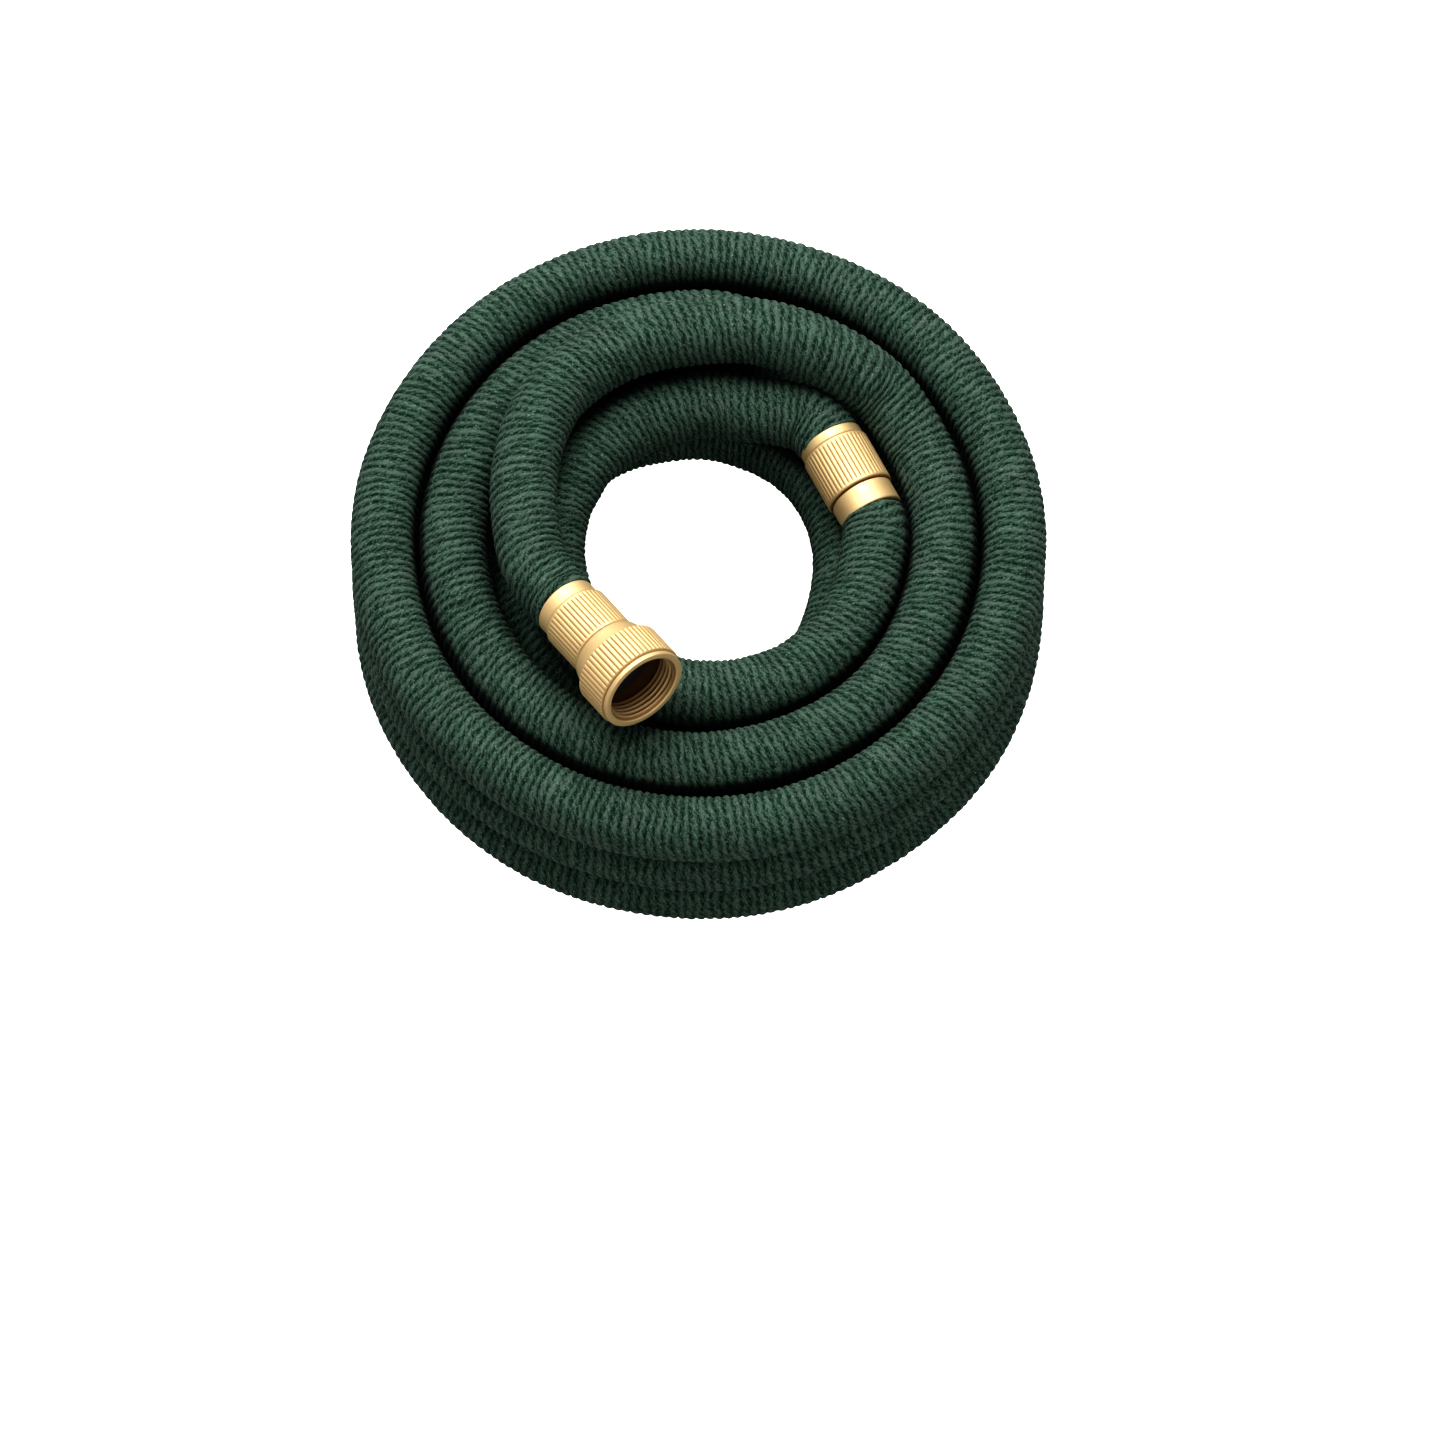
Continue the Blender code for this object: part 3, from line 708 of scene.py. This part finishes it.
def turnedMetalGroup():
    # Fine turning lines round a fitting's axis, handling marks, and a darker colour in its grooves, joints
    # and the nut's inside, partly dirt and partly painted shade.
    # Space has the axis as its Z, in metres
    group = bpy.data.node_groups.new("turnedMetal", "ShaderNodeTree")
    sockets = {
        "INPUT": {"Space": "Vector", "DirtAndShadeShare": "Float", "Bright": "Color", "Dull": "Color",
                  "DirtAndShade": "Color", "Base Roughness": "Float"},
        "OUTPUT": {"Color": "Color", "Roughness": "Float", "Height": "Float"},
    }
    for way, kinds in sockets.items():
        for name, kind in kinds.items():
            group.interface.new_socket(name, in_out=way, socket_type="NodeSocket" + kind)
    given = addNode(group, "NodeGroupInput").outputs
    stretched = vector2(group, "MULTIPLY", given["Space"], brassLook["turning"])
    lines = noise(group, stretched, 1.0, 2.0, 0.6)
    marks = noise(group, given["Space"], brassLook["markScale"], 4.0, 0.62)
    patches = noise(group, given["Space"], brassLook["patchScale"])
    dullness = math2(group, "MULTIPLY_ADD", marks, brassLook["marks"],
                     math2(group, "MULTIPLY", patches, brassLook["patches"]))
    dullness = math2(group, "SUBTRACT", dullness, brassLook["dullFrom"])
    colour = mixColour(group, dullness, given["Bright"], given["Dull"])
    # Darker where the share says: dirt in the joints, painted shade inside the nut
    colour = mixColour(group, given["DirtAndShadeShare"], colour, given["DirtAndShade"])
    rough = math2(group, "MULTIPLY_ADD", marks, brassLook["markRoughness"], given["Base Roughness"])
    rough = math2(group, "MULTIPLY_ADD", given["DirtAndShadeShare"], brassLook["dirtRoughness"], rough)
    addNode(group, "NodeGroupOutput", {"Color": colour, "Roughness": rough, "Height": lines})
    return group


turnedMetal = turnedMetalGroup()


def makeBrass(name, bright, dull, roughness, fromObject=None):
    # Satin turned brass. A fitting made here brings its own space; a CAD node reads Object
    # coordinates, turned so that Z runs along its axis
    made, tree, shader = newMaterial(name)
    effect = addNode(tree, "ShaderNodeGroup", node_tree=turnedMetal)
    if fromObject:
        back = fromObject.to_track_quat("Z", "Y").inverted().to_euler()
        space = addNode(tree, "ShaderNodeMapping", {
            "Vector": addNode(tree, "ShaderNodeTexCoord").outputs["Object"],
            "Rotation": tuple(back)}).outputs["Vector"]
    else:
        space = attribute(tree, "fitSpace").outputs["Vector"]
        tree.links.new(attribute(tree, "dirtAndShadeShare").outputs["Fac"], effect.inputs["DirtAndShadeShare"])
    tree.links.new(space, effect.inputs["Space"])
    effect.inputs["Bright"].default_value = bright
    effect.inputs["Dull"].default_value = dull
    effect.inputs["DirtAndShade"].default_value = brassLook["dirtAndShade"]
    effect.inputs["Base Roughness"].default_value = roughness
    tree.links.new(effect.outputs["Color"], shader.inputs["Base Color"])
    tree.links.new(effect.outputs["Roughness"], shader.inputs["Roughness"])
    tree.links.new(bump(tree, effect.outputs["Height"], *brassLook["lines"]), shader.inputs["Normal"])
    shader.inputs["Metallic"].default_value = brassLook["metallic"]
    return made


brass = makeBrass("satinBrass", brassLook["bright"], brassLook["dull"], brassLook["roughness"])


# Fittings


def roundedOutline(corners, radius, steps=3):
    # A closed outline with every corner replaced by a short curve that starts and ends a radius
    # away from it, or nearly half way along a shorter side
    corners = np.array(corners, float)
    share = np.linspace(0.0, 1.0, steps + 1)[:, None]
    outline = []
    for before, corner, after in zip(np.roll(corners, 1, axis=0), corners, np.roll(corners, -1, axis=0)):
        toBefore, toAfter = before - corner, after - corner
        start = corner + toBefore * min(0.45, radius / np.linalg.norm(toBefore))
        end = corner + toAfter * min(0.45, radius / np.linalg.norm(toAfter))
        outline.append(start * (1 - share) ** 2 + 2 * corner * share * (1 - share) + end * share ** 2)
    return np.vstack(outline)


def denser(outline, step, fineRadius=0.0, fineStep=None):
    # The closed outline with points added along its long sides; sides that lie inside the fine
    # radius get the fine step
    dense = []
    for here, there in zip(outline, np.roll(outline, -1, axis=0)):
        spacing = fineStep if max(here[0], there[0]) < fineRadius else step
        count = max(1, math.ceil(np.linalg.norm(there - here) / spacing))
        share = np.arange(count)[:, None] / count
        dense.append(here * (1 - share) + there * share)
    return np.vstack(dense)


def band(value, low, high, soft):
    # 1 between low and high, falling smoothly to 0 outside over the soft width
    rise = np.clip((value - low) / soft, 0.0, 1.0)
    fall = np.clip((high - value) / soft, 0.0, 1.0)
    share = np.minimum(rise, fall)
    return share * share * (3 - 2 * share)


knurlLook = {"power": 8, "soft": 0.0007, "dirtAndShade": 0.75}


def knurl(angle, along, count, depth, low, high):
    # Narrow straight grooves along the axis, depth * (0.5 - 0.5 * cos(count * angle)) ** power,
    # and the darker colour in them
    cut = (0.5 - 0.5 * np.cos(count * angle)) ** knurlLook["power"]
    mask = band(along, low, high, knurlLook["soft"])
    return -depth * cut * mask, knurlLook["dirtAndShade"] * cut * mask


def seamDirt(along, places, width=0.00030):
    # Dirt in the joints of a fitting: share * exp(-((along - place) / width) ** 2) about each
    return sum(share * np.exp(-((along - place) / width) ** 2) for place, share in places)


def evenAngles(count):
    return 2 * np.pi * np.arange(count)[:, None] / count


def grooveAngles(count):
    # Angles round a knurled piece, close together at its grooves
    share = np.array([0.0, 0.33, 0.42, 0.5, 0.58, 0.67])
    return 2 * np.pi * ((np.arange(count)[:, None] + share).ravel() / count)[:, None]


def thread(angle, along, pitch, depth, low, high):
    # A screw thread: a rounded ridge that moves on by one pitch in each turn round the axis
    wave = 0.5 + 0.5 * np.cos(2 * np.pi * (along / pitch - angle / (2 * np.pi)))
    mask = band(along, low, high, pitch * 0.6)
    return depth * wave * mask, wave * mask


def plain(angle, along, radius):
    # No relief and no darker colour
    nothing = 0.0 * angle * along
    return nothing, nothing


def turnedObject(name, outline, start, axis, angle, reliefOf, material, body, node):
    # A closed outline of (radius, along) points carried round the axis:
    # point = start + axis * along + (radius + relief) * (side * cos + up * sin)
    radius, along = outline[None, :, 0], outline[None, :, 1]
    relief, dirtAndShadeShare = reliefOf(angle, along, radius)
    turned = np.broadcast_to(radius + relief, (len(angle), len(outline)))
    along = np.broadcast_to(along, turned.shape)
    quaternion = axis.to_track_quat("Z", "Y")
    side, up = np.array(quaternion @ Vector((1, 0, 0))), np.array(quaternion @ Vector((0, 1, 0)))
    points = (np.array(start) + along[..., None] * np.array(axis)
              + (turned * np.cos(angle))[..., None] * side + (turned * np.sin(angle))[..., None] * up)
    fitSpace = np.stack([turned * np.cos(angle), turned * np.sin(angle), along], axis=-1)
    made = gridObject(name, points, True, {"dirtAndShadeShare": np.broadcast_to(dirtAndShadeShare, turned.shape),
                                           "fitSpace": fitSpace})
    made.data.set_sharp_from_angle(angle=math.radians(50))
    made.data.materials.append(material)
    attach(made, body)
    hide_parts(node)
    return made


tapSleeve = {
    "ring": 0.0060, "ringRadius": 0.0117, "length": 0.0251, "radius": 0.0127, "bore": 0.0083,
    "chamfer": 0.0006, "grooves": 44, "grooveDepth": 0.00030, "grooveEnds": (0.0070, 0.0242),
}
tapNut = {
    "length": 0.0228, "collar": 0.0066, "collarRadius": 0.0156, "backRadius": 0.0134, "back": 0.0035,
    "radius": 0.0171, "lip": 0.0020, "lipRadius": 0.0164, "bore": 0.0136, "mouth": 0.0007,
    "hole": 0.0083, "grooves": 56, "grooveDepth": 0.00032, "pitch": 0.00181, "threadDepth": 0.00085,
    # Painted shade inside the nut, set on the two lines below: darker in the thread's valleys and further in
    "threaded": 0.0100, "threadEnd": 0.0008, "threadShade": 0.75,
    "insideShadeFrom": 0.0032, "insideShadeEnd": 0.0010, "insideShadeFade": 0.0100,
}
joinerSleeve = {
    "ring": 0.0037, "ringRadius": 0.0118, "radius": 0.0125, "bore": 0.0070, "chamfer": 0.0006,
    "grooves": 44, "grooveDepth": 0.00026, "grooveEnds": (0.0048, 0.0230), "ferruleRadius": 0.0116,
}
endSleeve = {
    "ring": 0.0040, "ringRadius": 0.0117, "length": 0.0160, "radius": 0.0125, "bore": 0.0085,
    "chamfer": 0.0006, "grooves": 44, "grooveDepth": 0.00026, "grooveEnds": (0.0050, 0.0150),
    "collar": 0.0050, "collarRadius": 0.0130, "thread": 0.0130, "threadRadius": 0.0131,
    "pitch": 0.00181, "threadDepth": 0.0009,
}
smallRound = 0.00035
plainSides = 144                 # round a fitting without grooves


def knurledSleeve(name, size, length, step, start, axis, node):
    # A sleeve with a plain ring at the hose's end and grooves along the rest
    ring, ringRadius, radius = size["ring"], size["ringRadius"], size["radius"]
    bore, chamfer = size["bore"], size["chamfer"]
    corners = [(bore, 0.0), (ringRadius, 0.0), (ringRadius, ring), (radius - chamfer, ring),
               (radius, ring + chamfer), (radius, length - chamfer), (radius - chamfer, length),
               (bore, length)]

    def relief(angle, along, radius):
        depth = size["grooveDepth"] * (radius > ringRadius + 0.0001)
        cut, cutMask = knurl(angle, along, size["grooves"], depth, *size["grooveEnds"])
        return cut, np.clip(cutMask + seamDirt(along, [(ring, 0.8), (length, 0.9)]), 0.0, 1.0)

    outline = denser(roundedOutline(corners, smallRound), step)
    return turnedObject(name, outline, start, axis, grooveAngles(size["grooves"]), relief, brass,
                        "hose", node)


def makeTapFitting():
    axis, start = tapFit["axis"], tapStart()
    sleeve = knurledSleeve("tapSleeve", tapSleeve, tapSleeve["length"], 0.0008, start, axis, "tap_sleeve")
    size = tapNut
    start = start + axis * (tapSleeve["length"] + hose["clearance"])
    knurlEnd = size["length"] - size["lip"]
    corners = [(size["hole"], 0.0), (size["backRadius"], 0.0), (size["collarRadius"], size["collar"]),
               (size["radius"], size["collar"] + 0.0006), (size["radius"], knurlEnd - 0.0006),
               (size["lipRadius"] - 0.0004, knurlEnd - 0.0001), (size["lipRadius"], knurlEnd + 0.0003),
               (size["lipRadius"], size["length"]), (size["bore"] + size["mouth"], size["length"]),
               (size["bore"], size["length"] - size["mouth"]), (size["bore"], size["back"]),
               (size["hole"], size["back"])]
    outline = denser(roundedOutline(corners, smallRound), 0.0007, size["bore"] + 0.0002, 0.00030)

    def nutRelief(angle, along, radius):
        outside = radius > size["lipRadius"] + 0.0002
        inside = (radius < size["bore"] + 0.0003) & (radius > size["bore"] - 0.0003)
        cut, cutMask = knurl(angle, along, size["grooves"], size["grooveDepth"],
                             size["collar"] + 0.0004, knurlEnd - 0.0002)
        ridge, ridgeMask = thread(angle, along, size["pitch"], -size["threadDepth"],
                                  size["length"] - size["threaded"], size["length"] - size["threadEnd"])
        # Painted shade inside the nut: darker further in, and in the thread's valleys
        within = (radius < size["bore"] + 0.0008) & (along > size["insideShadeFrom"])
        depth = band(along, -1.0, size["length"] - size["insideShadeEnd"], size["insideShadeFade"]) * within
        insideShade = np.maximum(depth, size["threadShade"] * (1.0 - ridgeMask) * (inside & within))
        seams = seamDirt(along, [(0.0, 0.9), (size["collar"], 0.45), (knurlEnd, 0.9)])
        dirtAndShade = np.where(outside, cutMask, insideShade) + seams * (insideShade < 0.01)
        return np.where(outside, cut, np.where(inside, ridge, 0.0)), np.clip(dirtAndShade, 0.0, 1.0)

    nut = turnedObject("tapNut", outline, start, axis, grooveAngles(size["grooves"]), nutRelief, brass,
                       "nut", "tap_nut")
    return [sleeve, nut]


def makeJoiner():
    size, axis, start = joinerSleeve, joinerFit["axis"], joinerStart()
    sleeve = knurledSleeve("joinerSleeve", size, joinerFit["sleeve"], 0.0008, start, axis, "joiner_sleeve")
    corners = [(size["bore"], 0.0), (size["ferruleRadius"], 0.0),
               (size["ferruleRadius"], joinerFit["ferrule"]), (size["bore"], joinerFit["ferrule"])]
    ferrule = turnedObject(
        "joinerFerrule", denser(roundedOutline(corners, 0.0008, 5), 0.0012),
        start + axis * (joinerFit["sleeve"] + hose["clearance"]), axis, evenAngles(plainSides),
        plain, brass, "hose", "joiner_ferrule")
    return [sleeve, ferrule]


def makeEndFitting():
    size, axis, start = endSleeve, endFit["axis"], endStart()
    sleeve = knurledSleeve("endSleeve", size, size["length"], 0.0010, start, axis, "end_sleeve")
    total = size["collar"] + size["thread"]
    corners = [(size["bore"], 0.0), (size["collarRadius"], 0.0), (size["collarRadius"], size["collar"]),
               (size["threadRadius"] - 0.0010, size["collar"] + 0.0002),
               (size["threadRadius"] - 0.0010, total), (size["bore"], total)]
    outline = denser(roundedOutline(corners, smallRound), 0.0004)

    def nippleRelief(angle, along, radius):
        outside = radius > size["threadRadius"] - 0.0012
        ridge, ridgeMask = thread(angle, along, size["pitch"], size["threadDepth"],
                                  size["collar"] + 0.0008, total - 0.0003)
        threaded = outside & (along > size["collar"] + 0.0008)
        return np.where(outside, ridge, 0.0), np.where(threaded, 1.0 - ridgeMask, 0.0)

    nipple = turnedObject("endNipple", outline, start + axis * (size["length"] + hose["clearance"]), axis,
                          evenAngles(plainSides), nippleRelief, brass, "hose", "end_nipple")
    return [sleeve, nipple]


tapPieces = makeTapFitting()
joinerPieces = makeJoiner()
endPieces = makeEndFitting()
print("fittings ready")

# Pieces kept from the CAD model

washerLook = {
    "colour": (0.018, 0.017, 0.016), "worn": (0.045, 0.043, 0.040), "stops": (0.3, 0.75),
    "grainScale": 900.0, "roughness": 0.62, "grainRoughness": 0.2, "bump": (0.4, 0.0001),
}


def makeRubber():
    made, tree, shader = newMaterial("washerRubber")
    space = addNode(tree, "ShaderNodeTexCoord").outputs["Object"]
    grain = noise(tree, space, washerLook["grainScale"], 3.0, 0.6)
    stops = list(zip(washerLook["stops"], (washerLook["colour"], washerLook["worn"])))
    tree.links.new(ramp(tree, grain, stops), shader.inputs["Base Color"])
    tree.links.new(math2(tree, "MULTIPLY_ADD", grain, washerLook["grainRoughness"],
                         washerLook["roughness"]), shader.inputs["Roughness"])
    tree.links.new(bump(tree, grain, *washerLook["bump"]), shader.inputs["Normal"])
    return made


def dressNode(node, material):
    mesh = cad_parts[node].data
    mesh.materials.clear()
    mesh.materials.append(material)


dressNode("tap_washer", makeRubber())
# The tail sits inside the nut, and its dark brown brass colour is painted shade
dressNode("tap_tail", makeBrass("tailBrass", brassLook["dull"], brassLook["inside"],
                                brassLook["tailRoughness"], fromObject=tapFit["axis"]))

# Triangles in the shown pieces

triangles = 0
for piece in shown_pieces():
    if piece.type == "MESH":
        count = sum(len(polygon.vertices) - 2 for polygon in piece.data.polygons)
        triangles += count
        print(piece.name, count)
print("triangles", triangles)
